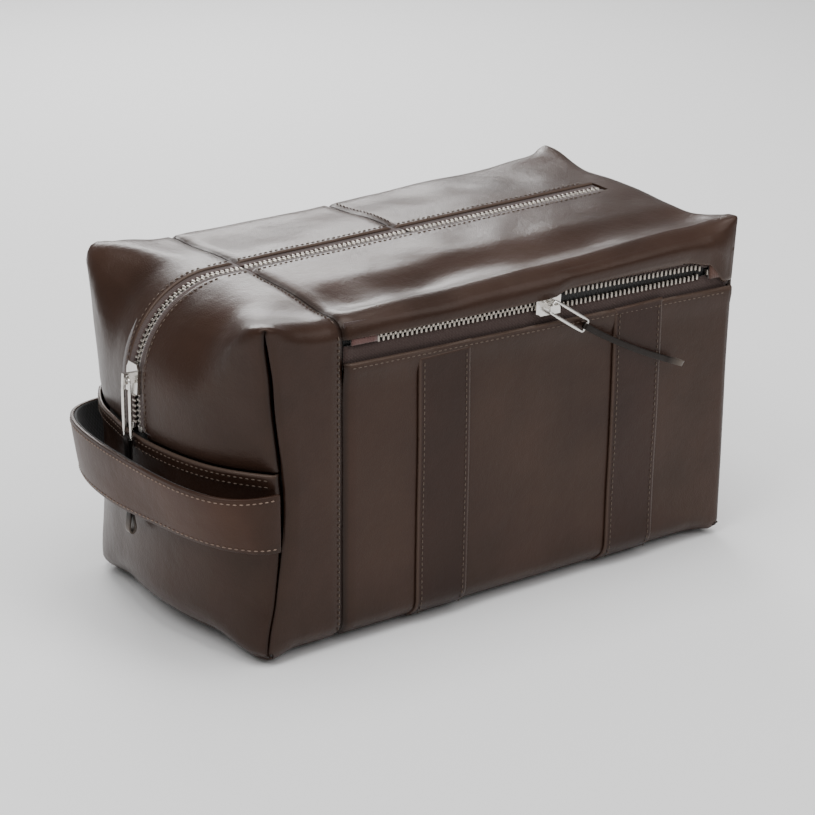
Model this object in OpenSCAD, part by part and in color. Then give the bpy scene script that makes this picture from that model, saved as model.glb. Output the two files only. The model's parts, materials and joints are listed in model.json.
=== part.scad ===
// Leather wash bag: a soft box with a zipped top, a zipped front pocket and
// a carry loop on the near end, by which it can also be hung up.
// Units are millimetres. X runs along the bag, Y from front (-) to back (+),
// Z up. The origin is on the resting plane under the middle of the bag.

/* [Body] */
// Distance between the corner seams at the two ends
body_length = 246; // [200:1:300]
// Depth from front to back
body_depth = 140; // [110:1:170]
// Height of the bag
body_height = 150; // [120:1:180]
// How far the near end swells out past its corner seams
near_swell = 19; // [4:1:25]
// How far the far end swells out past its corner seams
far_swell = 6; // [2:1:20]
// Radius of the rounded long bottom edges
bottom_radius = 18; // [8:1:30]
// Radius of the roll along the long top edges
top_radius = 9; // [5:1:20]
// Radius of the bend that carries the zip over the near end
bend_radius = 42; // [20:1:60]

/* [Leather and lining] */
// Thickness of the leather panels
leather = 1.6; // [1:0.1:2.5]
// Thickness of the lining cloth
cloth = 0.6; // [0.3:0.1:1]
// Gap left between panels at a seam
seam = 0.3; // [0.1:0.1:1]
// Height of the seam between the two panels of the near end
end_seam_z = 86; // [60:1:110]
// Place along the bag of the seam on the front
front_seam_x = -85; // [-110:1:-50]
// Place along the bag of the seam on the back
back_seam_x = -3; // [-60:1:60]
// Thickness of the board in the base
board = 2; // [1:0.5:4]

/* [Bands] */
// Width of the two bands that run down the front
band_width = 27; // [15:1:40]
// Left edge of the left band
band_left_x = -48; // [-80:1:0]
// Left edge of the right band
band_right_x = 56; // [10:1:90]
// Height at which the bands begin
band_top_z = 124; // [80:1:130]

/* [Main zip] */
// Sideways place of the main zip
zip_y = 7; // [-10:1:15]
// Half the width of the gap between the leather edges
channel = 5.4; // [4:0.1:8]
// Distance between teeth of one row
pitch = 3.2; // [2:0.1:4]
// Length of one tooth along the zip
tooth = 1.4; // [0.8:0.1:1.8]
// Thickness of a tooth
tooth_thick = 2.4; // [1.5:0.1:3.5]
// Thickness of the woven tape
tape = 0.6; // [0.3:0.1:1]
// Where the top part of the zip ends
zip_far_x = 104; // [80:1:115]
// Height of the slider when the zip is shut
slider_z = 111; // [95:1:125]

/* [Pocket] */
// Height of the pocket zip at the middle of the bag
pocket_zip_z = 134; // [110:1:136]
// How much the pocket zip slopes down, degrees
pocket_tilt = 2.2; // [0:0.1:5]
// Where the pocket zip's slider stands
pocket_slider_x = 19.5; // [-50:0.5:90]
// Depth of the pocket from front to back
pocket_depth = 7; // [5:0.5:12]
// Height of the bottom of the pocket
pocket_floor_z = 22; // [20:1:80]

/* [Handle] */
// Width of the handle strap
strap_width = 26; // [15:1:35]
// Thickness of the strap's leather
strap_leather = 1.8; // [1:0.1:3]
// Thickness of the strap's lining
strap_lining = 1.2; // [0.5:0.1:2]
// Height of the strap's middle
strap_z = 67; // [50:1:100]
// Gap between the near end and the strap
strap_gap = 9.5; // [6:0.5:30]

/* [Pulls] */
// Radius of the bail wire
wire = 0.6; // [0.4:0.1:1]
// Half the distance between a bail's two legs
bail_half = 2.8; // [2.5:0.1:4]
// Length of the main zip's bail
main_bail_length = 27; // [15:1:35]
// Length of the main zip's leather pull
main_pull_length = 44; // [20:1:60]
// Length of the pocket zip's bail
pocket_bail_length = 22; // [15:1:35]
// Length of the pocket zip's leather pull
pocket_pull_length = 60; // [20:1:80]
// How far the pocket pull leans down from the zip, degrees
pull_droop = 35; // [0:1:60]

/* [Show] */
// Which node to draw

/* [Hidden] */
$fn = 64;
// steps round the bag's edges, and round its swelled ends in plan
$arc = 96;
$plan = 128;

big = 500;
half_d = body_depth / 2;
near_seam_x = 2 - body_length / 2;
far_seam_x = 2 + body_length / 2;
near_x = near_seam_x - near_swell;
far_x = far_seam_x + far_swell;
// radii of the swelled ends in plan
near_r = (half_d * half_d + near_swell * near_swell) / (2 * near_swell);
far_r = (half_d * half_d + far_swell * far_swell) / (2 * far_swell);
near_bottom_r = 30;
far_top_r = 14;
far_bottom_r = 20;
base_z = 0;
base_seam_y = half_d - bottom_radius;
bend_x = near_x + bend_radius;
bend_z = body_height - bend_radius;
fold_z = body_height - top_radius;
flap_far_x = 108;
near_cut_x = near_seam_x + 2;
far_cut_x = far_seam_x - leather;
g = seam / 2;
lining_in = 4;
row_half = 3;
tooth_over = 0.6;
zip_r = bend_radius - 2;
slider_angle = asin((slider_z - bend_z) / zip_r);
pocket_y = leather + 0.4 + tape / 2 - half_d;
lining_front_y = -half_d + 2 + pocket_depth + 1;
slider_half_l = 6.5;
slider_half_w = 4.6;
pivot_h = 5.7;
pull_wall = 0.7;
teeth_drop = 5.5;
parted_half = 0.8;

leather_colour = [0.24, 0.17, 0.14];
band_colour = [0.22, 0.13, 0.11];
strap_colour = [0.36, 0.24, 0.19];
lining_colour = [0.12, 0.11, 0.11];
tape_colour = [0.42, 0.27, 0.22];
metal_colour = [0.75, 0.74, 0.72];
board_colour = [0.55, 0.48, 0.38];

// a box given by its limits
module slab(x0, x1, y0, y1, z0, z1) {
    translate([x0, y0, z0]) cube([x1 - x0, y1 - y0, z1 - z0]);
}

// what a rounded corner takes off a square one
module corner_waste(x, z, r, sx, sz) {
    difference() {
        translate([min(x - sx * r, x + sx), min(z - sz * r, z + sz)]) square([r + 1, r + 1]);
        translate([x - sx * r, z - sz * r]) circle(r, $fn = $arc);
    }
}

// a rectangle whose four corners have their own radii
module rounded(x0, z0, x1, z1, r00, r10, r01, r11) {
    difference() {
        translate([x0, z0]) square([x1 - x0, z1 - z0]);
        corner_waste(x0, z0, r00, -1, -1);
        corner_waste(x1, z0, r10, 1, -1);
        corner_waste(x0, z1, r01, -1, 1);
        corner_waste(x1, z1, r11, 1, 1);
    }
}

// the bag seen from an end, from the front and from above, brought in by n
module from_end(n) {
    rb = bottom_radius - n;
    rt = top_radius - n;
    rounded(n - half_d, base_z + n, half_d - n, body_height - n, rb, rb, rt, rt);
}

module from_front(n) {
    rounded(near_x + n, base_z + n, far_x - n, body_height - n,
        near_bottom_r - n, far_bottom_r - n, bend_radius - n, far_top_r - n);
}

module from_above(n) {
    intersection() {
        union() {
            translate([near_x + near_r, 0]) circle(near_r - n, $fn = $plan);
            translate([0, n - half_d]) square([big, body_depth - 2 * n]);
        }
        translate([far_x - far_r, 0]) circle(far_r - n, $fn = 2 * $plan);
        translate([-big / 2, n - half_d]) square([big, body_depth - 2 * n]);
    }
}

// the whole bag as one solid, brought in by n
module bag(n) {
    intersection() {
        translate([-big / 2, 0, 0]) rotate([90, 0, 90]) linear_extrude(big) from_end(n);
        translate([0, big / 2, 0]) rotate([90, 0, 0]) linear_extrude(big) from_front(n);
        linear_extrude(big) from_above(n);
    }
}

// a skin t thick whose outside lies n inside the bag's outside
module skin(n, t) {
    difference() {
        bag(n);
        bag(n + t);
    }
}

// the same, in small flat faces: for the nodes that round three ways at once
module soft_skin(n, t, $arc = 32, $plan = 72) {
    difference() {
        hull() bag(n);
        hull() bag(n + t);
    }
}

// the stitched corner that stands up at each end of a long top edge
module ear(side, far) {
    x = far ? far_seam_x : near_seam_x;
    d = far ? -1 : 1;
    run = far ? 10 : 24;
    low = far ? 9 : 20;
    y0 = side < 0 ? -half_d : half_d - 5;
    difference() {
        translate([0, y0 + 5, 0]) rotate([90, 0, 0]) linear_extrude(5)
            polygon([[x, fold_z - low], [x + d * 5, fold_z - low], [x + d * run, body_height - 2],
                [x + d * 6, body_height], [x, body_height]]);
        bag(leather / 2);
    }
}

module corner_front() {
    color(leather_colour) {
        difference() {
            intersection() {
                skin(0, leather);
                union() {
                    slab(-big, front_seam_x - g, -big, zip_y - channel, 30, big);
                    slab(-big, front_seam_x - g, -big, -base_seam_y - g, -1, 31);
                }
            }
            slab(-big, near_cut_x + g, -big, big, -1, end_seam_z + g);
        }
        ear(-1, false);
    }
}

module corner_back() {
    color(leather_colour) {
        difference() {
            intersection() {
                skin(0, leather);
                union() {
                    slab(-big, front_seam_x - g, zip_y + channel, big, 30, big);
                    slab(-big, back_seam_x - g, base_seam_y + g, big, -1, fold_z - g);
                }
            }
            slab(-big, near_cut_x + g, -big, big, -1, end_seam_z + g);
            slab(-big, near_cut_x + g, -big, zip_y + channel, -1, big);
        }
        ear(1, false);
    }
}

module near_end_lower() {
    color(leather_colour) intersection() {
        soft_skin(0, leather);
        slab(-big, near_cut_x - g, -big, big, -1, end_seam_z - g);
    }
}

module far_end_panel() {
    color(leather_colour) intersection() {
        union() {
            soft_skin(0, leather);
            ear(-1, true);
            ear(1, true);
        }
        union() {
            slab(far_cut_x + g, big, -big, big, -1, big);
            slab(flap_far_x + g, big, -big, big, fold_z + g, big);
        }
    }
}

module back_right() {
    color(leather_colour) intersection() {
        skin(0, leather);
        slab(back_seam_x + g, far_cut_x - g, base_seam_y + g, big, -1, fold_z - g);
    }
}

// everything below the sloping top edge of the pocket, above zip line by d
module below_zip(d) {
    translate([0, 0, pocket_zip_z + d]) rotate([0, pocket_tilt, 0]) slab(-big, big, -big, big, -big, 0);
}

module pocket_panel() {
    color(leather_colour) intersection() {
        skin(0, leather);
        slab(front_seam_x + g, far_cut_x - g, -big, -base_seam_y - g, -1, big);
        below_zip(-8);
    }
}

module band(x) {
    color(band_colour) intersection() {
        skin(-leather, leather);
        slab(x, x + band_width, -big, -base_seam_y - g, 0, band_top_z);
    }
    color(band_colour) intersection() {
        skin(-leather, leather);
        slab(x, x + band_width, base_seam_y + g, big, 0, band_top_z);
    }
}

module band_left() {
    band(band_left_x);
}

module band_right() {
    band(band_right_x);
}

module base_panel() {
    color(leather_colour) intersection() {
        skin(0, leather);
        slab(near_cut_x + g, far_cut_x - g, g - base_seam_y, base_seam_y - g, -1, 10);
    }
}

module base_board() {
    color(board_colour) slab(near_bottom_r + near_x - 1, far_x - far_bottom_r + 1, -52, 52,
        base_z + leather + 0.1, base_z + leather + 0.1 + board);
}

// the lining's skin, kept off the zip and behind the pocket
module lining_skin($arc = 32, $plan = 72) {
    difference() {
        intersection() {
            hull() bag(lining_in);
            slab(-big, big, lining_front_y, big, -1, big);
        }
        intersection() {
            hull() bag(lining_in + cloth);
            slab(-big, big, lining_front_y + cloth, big, -1, big);
        }
        slab(-big, far_x - 12, zip_y - channel, zip_y + channel, end_seam_z, big);
    }
}

module main_lining() {
    color(lining_colour) intersection() {
        lining_skin();
        union() {
            slab(-big, big, -big, big, -1, fold_z - 4);
            slab(-big, front_seam_x - g, -big, big, -1, big);
            slab(flap_far_x + g, big, -big, big, -1, big);
        }
    }
}

module pocket_bag() {
    y0 = pocket_y + tape / 2 + 0.1;
    y1 = lining_front_y - 0.1;
    x0 = front_seam_x + 6;
    x1 = far_cut_x - 6;
    z0 = pocket_floor_z;
    color(lining_colour) difference() {
        intersection() {
            slab(x0, x1, y0, y1, z0, fold_z);
            below_zip(6);
        }
        slab(x0 + cloth, x1 - cloth, y0 + cloth, y1 - cloth, z0 + cloth, big);
        // the wall behind the zip stops below the lower teeth
        difference() {
            slab(x0 + cloth, x1 - cloth, y0 - 1, y0 + cloth + 0.1, 0, big);
            below_zip(-teeth_drop);
        }
    }
}

// how far each row of the pocket zip stands off its line at s
function parted(s) = s < pocket_slider_x + 3 ? 0 : 3.2 - (s - pocket_slider_x) * 0.018;

// puts a shape drawn at the middle of the pocket zip on its sloping line
module on_pocket_line() {
    translate([0, pocket_y, pocket_zip_z]) rotate([0, pocket_tilt, 0]) children();
}

// one woven tape: side 1 is above the zip and -1 below it
module pocket_tape(side) {
    up = side > 0 ? 1.3 : 0.6;
    edge = side > 0 ? 9 : 12;
    s0 = front_seam_x + 1;
    s1 = far_cut_x - 1;
    mid = pocket_slider_x + 3;
    color(tape_colour) intersection() {
        on_pocket_line() translate([0, tape / 2, 0]) rotate([90, 0, 0]) linear_extrude(tape)
            polygon([[s0, side * row_half], [mid, side * row_half],
                [mid + 6, side * (row_half + 3 * up)], [s1, side * (row_half + 1.5 * up)],
                [s1, side * edge], [s0, side * edge]]);
        slab(-big, big, -big, big, 0, fold_z - 0.4);
    }
}

module pocket_tape_upper() {
    pocket_tape(1);
}

module pocket_tape_lower() {
    pocket_tape(-1);
}

// a metal tooth that reaches over the zip's line, z across and x along
module one_tooth() {
    difference() {
        slab(-tooth / 2, tooth / 2, -tooth_thick / 2, tooth_thick / 2, -tooth_over, row_half - 0.1);
        translate([0, 0, row_half]) slab(-2, 2, -tape / 2 - 0.1, tape / 2 + 0.1, -0.9, 2);
    }
}

module pocket_teeth(side) {
    up = side > 0 ? 1.3 : 0.6;
    shift = side > 0 ? 0 : pitch / 2;
    color(metal_colour) on_pocket_line() {
        for (s = [front_seam_x + 19 + shift : pitch : pocket_slider_x - 1.6])
            translate([s, 0, 0]) rotate([side > 0 ? 0 : 180, 0, 0]) one_tooth();
        for (s = [pocket_slider_x + 9 + shift : pitch : far_cut_x - 17])
            translate([s, 0, side * up * parted(s)])
                rotate([side > 0 ? 0 : 180, 0, 0]) one_tooth();
    }
}

module pocket_teeth_upper() {
    pocket_teeth(1);
}

module pocket_teeth_lower() {
    pocket_teeth(-1);
}

module pocket_stops() {
    color(metal_colour) on_pocket_line() {
        slab(front_seam_x + 14, front_seam_x + 16.5, -1.4, -tape / 2 - 0.05, -3.6, 3.6);
        slab(far_cut_x - 13.5, far_cut_x - 11, -1.4, -tape / 2 - 0.05, -5.6, 6.6);
    }
}

// the band of the main zip between two distances across and two radii,
// from the top, round the bend and down the near end
module zip_run(y0, y1, r0, r1, x_top, z_end) {
    translate([0, y1, 0]) rotate([90, 0, 0]) linear_extrude(y1 - y0) {
        translate([bend_x, bend_z + r0]) square([x_top - bend_x, r1 - r0]);
        translate([bend_x - r1, z_end]) square([r1 - r0, bend_z - z_end]);
        intersection() {
            difference() {
                translate([bend_x, bend_z]) circle(r1, $fn = 96);
                translate([bend_x, bend_z]) circle(r0, $fn = 96);
            }
            translate([bend_x - r1 - 1, bend_z]) square([r1 + 1, r1 + 1]);
        }
    }
}

module end_tape(side) {
    lo = side < 0 ? zip_y - 11 : zip_y + row_half;
    hi = side < 0 ? zip_y - row_half : zip_y + 11;
    color(tape_colour)
        zip_run(lo, hi, zip_r - tape / 2, zip_r + tape / 2, front_seam_x - g, end_seam_z + 1);
}

module end_tape_front() {
    end_tape(-1);
}

// the back tape is trimmed to the swell of the near end
module end_tape_back() {
    intersection() {
        end_tape(1);
        bag(leather + 0.1);
    }
}

// a tooth of the main zip's front (-1) or back (1) row, outward along z
module main_tooth(side) {
    rotate([side < 0 ? 90 : -90, 0, 0]) one_tooth();
}

// the teeth that stay with the near end: on the flat of the top, round the bend
// as far as the slider, and parted below it
module end_teeth(side) {
    shift = side < 0 ? 0 : pitch / 2;
    step = pitch * 180 / (PI * zip_r);
    first = slider_angle + 7;
    color(metal_colour) {
        for (s = [1.6 + shift : pitch : front_seam_x - bend_x - 1])
            translate([bend_x + s, zip_y, bend_z + zip_r]) main_tooth(side);
        for (a = [first + step * shift / pitch : step : 89.5])
            translate([bend_x, zip_y, bend_z]) rotate([0, a - 90, 0])
                translate([0, 0, zip_r]) main_tooth(side);
        for (s = [end_seam_z + 6 : pitch : slider_z - slider_half_l - 3 - shift])
            translate([bend_x - zip_r, zip_y + side * parted_half, s + shift])
                rotate([0, -90, 0]) main_tooth(side);
    }
}

module end_teeth_front() {
    end_teeth(-1);
}

module end_teeth_back() {
    end_teeth(1);
}

module end_stops() {
    x = bend_x - zip_r - tape / 2 - 0.05;
    color(metal_colour) {
        slab(x - 1.1, x, zip_y - 5, zip_y - row_half + 1, end_seam_z + 1.5, end_seam_z + 4);
        slab(x - 1.1, x, zip_y + row_half - 1, zip_y + 5, end_seam_z + 1.5, end_seam_z + 4);
    }
}

module far_stop() {
    color(metal_colour) slab(zip_far_x + 4.6, zip_far_x + 7, zip_y - 2.6, zip_y + 2.6,
        body_height - 4.6, body_height - 2);
}

// the part of the top that lifts when the mouth is opened
module lid_range(side) {
    y0 = side < 0 ? -big : zip_y + channel;
    y1 = side < 0 ? zip_y - channel : big;
    slab(front_seam_x + g, flap_far_x - g, y0, y1, fold_z + g, big);
}

module flap_front() {
    color(leather_colour) intersection() {
        skin(0, leather);
        lid_range(-1);
    }
}

module flap_back_near() {
    color(leather_colour) intersection() {
        skin(0, leather);
        lid_range(1);
        slab(-big, back_seam_x - g, -big, big, 0, big);
    }
}

module flap_back_far() {
    color(leather_colour) intersection() {
        skin(0, leather);
        lid_range(1);
        slab(back_seam_x + g, big, -big, big, 0, big);
    }
}

module flap_lining_front() {
    color(lining_colour) slab(front_seam_x + g, flap_far_x - g, leather + 3 - half_d,
        zip_y - channel, body_height - lining_in - cloth, body_height - lining_in);
}

module flap_lining_back() {
    color(lining_colour) slab(front_seam_x + g, flap_far_x - g, zip_y + channel,
        half_d - leather - 3, body_height - lining_in - cloth, body_height - lining_in);
}

module top_tape(side) {
    z = bend_z + zip_r;
    y0 = side < 0 ? zip_y - 11 : zip_y + row_half;
    y1 = side < 0 ? zip_y - row_half : zip_y + 11;
    color(tape_colour) slab(front_seam_x + g, flap_far_x - g, y0, y1, z - tape / 2, z + tape / 2);
}

module top_tape_front() {
    top_tape(-1);
}

module top_tape_back() {
    top_tape(1);
}

module top_teeth(side) {
    shift = side < 0 ? 0 : pitch / 2;
    color(metal_colour) for (s = [front_seam_x + 1 + shift : pitch : zip_far_x])
        translate([s, zip_y, bend_z + zip_r]) main_tooth(side);
}

module top_teeth_front() {
    top_teeth(-1);
}

module top_teeth_back() {
    top_teeth(1);
}

// a slider lying on its zip: x along the zip towards the open side, z outward
module slider() {
    gap = tooth_thick / 2 + 0.4;
    slot = 0.9;
    difference() {
        union() {
            slab(-slider_half_l, slider_half_l, -slider_half_w, slider_half_w, gap, gap + 1.2);
            // the inner plate is shorter at the shut end, clear of teeth on the bend
            slab(1.6 - slider_half_l, slider_half_l, -slider_half_w, slider_half_w, -gap - 1, -gap);
            for (side = [-1, 1]) {
                y = side > 0 ? row_half + 0.5 : -slider_half_w;
                slab(-slider_half_l, slider_half_l, y, y + slider_half_w - row_half - 0.5, slot, gap);
                slab(-slider_half_l, slider_half_l, y, y + slider_half_w - row_half - 0.5, -gap, -slot);
            }
            // the wedge that parts the teeth
            slab(slider_half_l - 3.5, slider_half_l - 0.5, -1.1, 1.1, -gap - 0.5, gap + 0.5);
        }
        // waist on both sides, towards the shut end
        for (side = [-1, 1])
            translate([-slider_half_l - 1, side * (slider_half_w + 3.6), -5]) cylinder(r = 5, h = 12);
    }
    // crown: a bridge that holds the bail
    difference() {
        slab(-2.4, 2.4, -0.9, 0.9, gap + 0.5, pivot_h + 1.7);
        slab(-1.6, 1.6, -3, 3, pivot_h - 0.9, pivot_h + 0.9);
    }
}

// a wire loop, held at its first end and hanging along x
module bail(length) {
    reach = bail_half + wire;
    for (side = [-1, 1])
        translate([0, side * bail_half, 0]) rotate([0, 90, 0]) cylinder(r = wire * 0.94, h = length);
    translate([0, reach, 0]) rotate([90, 0, 0]) cylinder(r = wire, h = 2 * reach);
    translate([length, reach, 0]) rotate([90, 0, 0]) cylinder(r = wire, h = 2 * reach);
}

// a leather pull, looped round the bail's bar at 0 and lying along x
module pull(length, width) {
    eye = wire + 0.15;
    t = 2 * pull_wall;
    difference() {
        union() {
            translate([0, -width / 2, -t / 2]) cube([length - width / 2, width, t]);
            translate([0, width / 2, 0]) rotate([90, 0, 0]) cylinder(r = eye + pull_wall, h = width);
            translate([length - width / 2, 0, -t / 2]) cylinder(r = width / 2, h = t);
        }
        translate([0, width, 0]) rotate([90, 0, 0]) cylinder(r = eye, h = 2 * width);
    }
}

// puts a piece drawn in the slider's own directions on the main zip
module on_main_zip() {
    translate([bend_x, zip_y, bend_z]) rotate([0, slider_angle, 0]) translate([-zip_r, 0, 0])
        rotate([0, -90, 0]) rotate([0, 0, 180]) children();
}

// the main bail hangs straight down from its pivot
module on_main_pivot() {
    x = bend_x - (zip_r + pivot_h) * cos(slider_angle);
    z = bend_z + (zip_r + pivot_h) * sin(slider_angle);
    translate([x, zip_y, z]) rotate([0, -90, 0]) rotate([0, 0, 180]) children();
}

module main_slider() {
    color(metal_colour) on_main_zip() slider();
}

module main_bail() {
    color(metal_colour) on_main_pivot() bail(main_bail_length);
}

module main_pull() {
    color(band_colour) on_main_pivot() translate([main_bail_length, 0, 0]) pull(main_pull_length, 4);
}

module on_pocket_zip() {
    on_pocket_line() translate([pocket_slider_x, 0, 0]) rotate([90, 0, 0]) children();
}

module on_pocket_pivot() {
    on_pocket_zip() translate([0, 0, pivot_h]) rotate([0, 0, pocket_tilt - pull_droop]) children();
}

module pocket_slider() {
    color(metal_colour) on_pocket_zip() slider();
}

module pocket_bail() {
    color(metal_colour) on_pocket_pivot() bail(pocket_bail_length);
}

module pocket_pull() {
    color(band_colour) on_pocket_pivot() translate([pocket_bail_length, 0, 0])
        pull(pocket_pull_length, 4);
}

// plan of the strap's outside, brought in by n
module strap_plan(n) {
    x0 = near_x - strap_gap - strap_leather - strap_lining + n;
    r = 25 - n;
    rounded(x0, n - half_d + 1, 0, half_d - 1 - n, r, 1, r, 1);
}

module strap_layer(n, t, x_end) {
    intersection() {
        translate([0, 0, strap_z - strap_width / 2]) linear_extrude(strap_width) difference() {
            strap_plan(n);
            strap_plan(n + t);
        }
        slab(-big, x_end, -big, big, 0, big);
    }
}

module handle_strap() {
    color(strap_colour) strap_layer(0, strap_leather, near_seam_x - 5);
}

module handle_lining() {
    color(lining_colour) strap_layer(strap_leather, strap_lining, near_seam_x - 5);
}

// the ends of the strap, where it bends into the corner seams
module handle_roots($plan = 512) {
    color(strap_colour) difference() {
        intersection() {
            strap_layer(0, strap_leather + strap_lining, big);
            slab(near_seam_x - 5 + seam, near_seam_x + 2, -big, big, 0, big);
        }
        bag(-0.1);
    }
}

corner_front();
corner_back();
near_end_lower();
far_end_panel();
back_right();
pocket_panel();
band_left();
band_right();
base_panel();
base_board();
main_lining();
pocket_bag();
pocket_tape_upper();
pocket_tape_lower();
pocket_teeth_upper();
pocket_teeth_lower();
pocket_stops();
end_tape_front();
end_tape_back();
end_teeth_front();
end_teeth_back();
end_stops();
far_stop();
handle_roots();
flap_front();
flap_lining_front();
top_tape_front();
top_teeth_front();
flap_back_near();
flap_back_far();
flap_lining_back();
top_tape_back();
top_teeth_back();
main_slider();
main_bail();
main_pull();
pocket_slider();
pocket_bail();
pocket_pull();
handle_strap();
handle_lining();
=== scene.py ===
# %% [markdown]
# # A leather wash bag
# The bag is sewn inside out from a few leather panels and then turned, so it has soft
# rolled edges and four peaked ears where three panels meet. We make it the same way:
# one block is shaped into the whole skin, and the panels are cut out of it along the
# seams. The zips, bands, strap and stitches are then laid on that skin.
# Shapes are worked in millimetres and brought to metres as each piece is finished.

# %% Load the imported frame
import json
import math
import bmesh
import bpy
from mathutils import Matrix, Vector, noise
from mathutils.bvhtree import BVHTree
from mathutils.kdtree import KDTree


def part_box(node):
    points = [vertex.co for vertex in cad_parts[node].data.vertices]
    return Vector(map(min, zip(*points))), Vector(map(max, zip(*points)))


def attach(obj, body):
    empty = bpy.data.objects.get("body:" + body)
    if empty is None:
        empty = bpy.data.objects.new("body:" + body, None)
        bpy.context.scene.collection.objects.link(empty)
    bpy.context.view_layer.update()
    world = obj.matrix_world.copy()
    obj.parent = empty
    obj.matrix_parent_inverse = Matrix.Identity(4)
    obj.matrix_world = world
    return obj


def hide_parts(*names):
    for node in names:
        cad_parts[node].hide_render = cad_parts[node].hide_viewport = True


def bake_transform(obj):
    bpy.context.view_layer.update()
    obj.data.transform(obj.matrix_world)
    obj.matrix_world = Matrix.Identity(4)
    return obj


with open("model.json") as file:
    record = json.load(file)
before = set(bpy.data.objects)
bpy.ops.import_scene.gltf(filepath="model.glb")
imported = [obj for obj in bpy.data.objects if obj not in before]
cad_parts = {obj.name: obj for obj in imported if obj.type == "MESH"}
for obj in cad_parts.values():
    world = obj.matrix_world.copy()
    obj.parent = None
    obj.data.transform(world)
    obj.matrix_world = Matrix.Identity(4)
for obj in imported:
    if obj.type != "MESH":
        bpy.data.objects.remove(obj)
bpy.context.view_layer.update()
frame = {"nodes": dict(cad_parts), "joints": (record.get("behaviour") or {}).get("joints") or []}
MM = 0.001

# %% [markdown]
# ## Sizes
# Every place comes from the frame: a seam lies half way between the two CAD panels that
# meet there, and the zips follow the axes of the joints that their sliders run on.

# %% Read the sizes from the frame


def span(node):
    low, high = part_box(node)
    return low / MM, high / MM


def between(node_a, node_b, axis):
    return (span(node_a)[1][axis] + span(node_b)[0][axis]) / 2


def joint(name):
    return next(j for j in frame["joints"] if j["name"] == name)


def pivot(name):
    return Vector(joint(name)["pos_m"]) / MM


X, Y, Z = 0, 1, 2
near_x = span("corner_front")[0].x
far_x = span("far_end_panel")[1].x
half = span("back_right")[1].y
height = span("flap_front")[1].z
front_seam = between("corner_front", "flap_front", X)
back_seam = between("flap_back_near", "flap_back_far", X)
far_split = between("flap_front", "far_end_panel", X)
fold_z = between("back_right", "flap_back_far", Z)
end_seam = span("near_end_lower")[1].z
base_seam = span("base_panel")[1].y
zip_y = sum(b.y for b in span("far_stop")) / 2
channel = zip_y - span("flap_front")[1].y
zip_z = sum(b.z for b in span("top_tape_front")) / 2
bend = pivot("main_slider_run")
zip_r = zip_z - bend.z
bend_r = height - bend.z
near_swell = 19
far_swell = 6
leather = 1.5
print(f"skin {far_x - near_x:.0f} x {2 * half:.0f} x {height:.0f} mm, zip at y {zip_y:.1f}")

# %% Read the pocket zip's line from the frame
pocket_axis = Vector(joint("pocket_slider_run")["axis"])
pocket_pivot = pivot("pocket_bail_swing")
pocket_slope = pocket_axis.z / pocket_axis.x
pocket_y = sum(b.y for b in span("pocket_tape_lower")) / 2
panel_drop = 8
lip_rise = 3.2
lip_open, lip_shut = 2.9, 10.2
bands = [(span(n)[0].x, span(n)[1].x) for n in ("band_left", "band_right")]
band_top = span("band_left")[1].z


def pocket_z(x, rise=0.0):
    return pocket_pivot.z + pocket_slope * (x - pocket_pivot.x) + rise


print(f"pocket zip falls from {pocket_z(front_seam):.1f} to {pocket_z(far_x):.1f} mm")

# %% [markdown]
# ## Camera and light
# A long lens looks at the near end and the pocket side from a little above. A low soft
# box behind the bag lays the grey sheen on its top, one on each side lights the near end
# and the pocket side, and a wide one overhead lights everything else.

# %% Camera


def direction(azimuth, elevation):
    a, e = math.radians(azimuth), math.radians(elevation)
    return Vector((math.sin(a) * math.cos(e), -math.cos(a) * math.cos(e), math.sin(e)))


camera = bpy.data.objects.new("camera", bpy.data.cameras.new("camera"))
bpy.context.scene.collection.objects.link(camera)
aim = Vector((-11.97, -10.95, 74.23)) * MM
back = direction(-35.13, 21.55)
camera_distance = 1.417
camera.location = aim + back * camera_distance
camera.rotation_euler = (-back).to_track_quat("-Z", "Y").to_euler()
camera.data.lens = 142
camera.data.clip_start = 0.05
bpy.context.scene.camera = camera

# %% Lights, floor and surroundings


def soft_box(name, azimuth, elevation, distance, size, power):
    lamp = bpy.data.lights.new(name, "AREA")
    lamp.shape = "RECTANGLE"
    lamp.size, lamp.size_y = size
    lamp.energy = power
    o = bpy.data.objects.new(name, lamp)
    bpy.context.scene.collection.objects.link(o)
    away = direction(azimuth, elevation)
    o.location = Vector((0, 0, 0.07)) + away * distance
    o.rotation_euler = away.to_track_quat("Z", "Y").to_euler()


soft_box("sheen", 159, 25, 1.15, (0.6, 0.24), 6.5)
soft_box("key", -72, 50, 1.2, (0.6, 0.6), 5)
soft_box("fill", 25, 42, 1.3, (0.8, 0.8), 5)
soft_box("overhead", 0, 88, 1.3, (1.0, 1.0), 14)
world = bpy.data.worlds.new("studio")
bpy.context.scene.world = world
world.use_nodes = True
world.node_tree.nodes["Background"].inputs["Color"].default_value = (1, 1, 1, 1)
world.node_tree.nodes["Background"].inputs["Strength"].default_value = 0.36
floor_bm = bmesh.new()
bmesh.ops.create_grid(floor_bm, x_segments=1, y_segments=1, size=6)
floor_mesh = bpy.data.meshes.new("floor")
floor_bm.to_mesh(floor_mesh)
floor_bm.free()
floor = bpy.data.objects.new("floor", floor_mesh)
floor.location.z = -0.0004
bpy.context.scene.collection.objects.link(floor)

# %% [markdown]
# ## Shader helpers
# Node trees are easier to read as sums. `Wire` wraps a socket so that Python's own
# operators add the Math nodes, and `Finish.node` makes any other node.

# %% A socket that can be added and multiplied


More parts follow.
